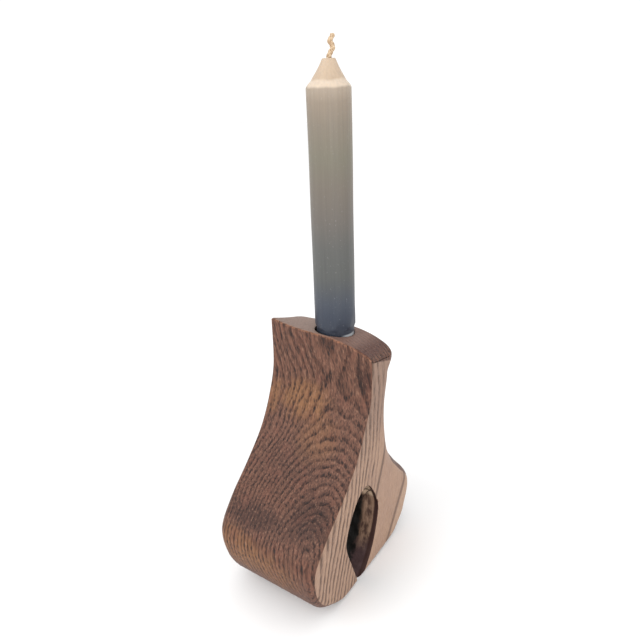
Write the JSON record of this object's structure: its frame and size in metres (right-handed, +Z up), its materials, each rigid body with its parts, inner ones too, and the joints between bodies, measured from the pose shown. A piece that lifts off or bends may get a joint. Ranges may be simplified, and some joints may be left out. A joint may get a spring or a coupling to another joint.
{
  "type": "wooden candlestick",
  "caption": "Bell-shaped wooden candle block with a slanted top, a natural hollow in one sawn side and a dinner candle standing in its socket.",
  "frame": {"origin": "on the surface that the block stands on, under the middle of the block", "axes": "+Z up along the candle, +X out of the sawn side with the hollow, -Y out of the broad sloping front"},
  "size_m": [0.0656, 0.1129, 0.2855],
  "materials": {
    "stained_wood": "open-grained hardwood, dark stain worn back on the sawn side, oiled",
    "dipped_wax": "dipped paraffin wax, cream at the tip fading to slate blue at the foot, satin",
    "waxed_cotton": "braided cotton soaked in wax"
  },
  "bodies": {
    "holder": {"wood_body": "stained_wood"},
    "taper": {"candle": "dipped_wax", "wick": "waxed_cotton"}
  },
  "joints": [
    {"name": "candle_lift", "type": "slide", "parent": "holder", "child": "taper", "axis": [0, 0, 1], "range_m": [0, 0.045]}
  ]
}
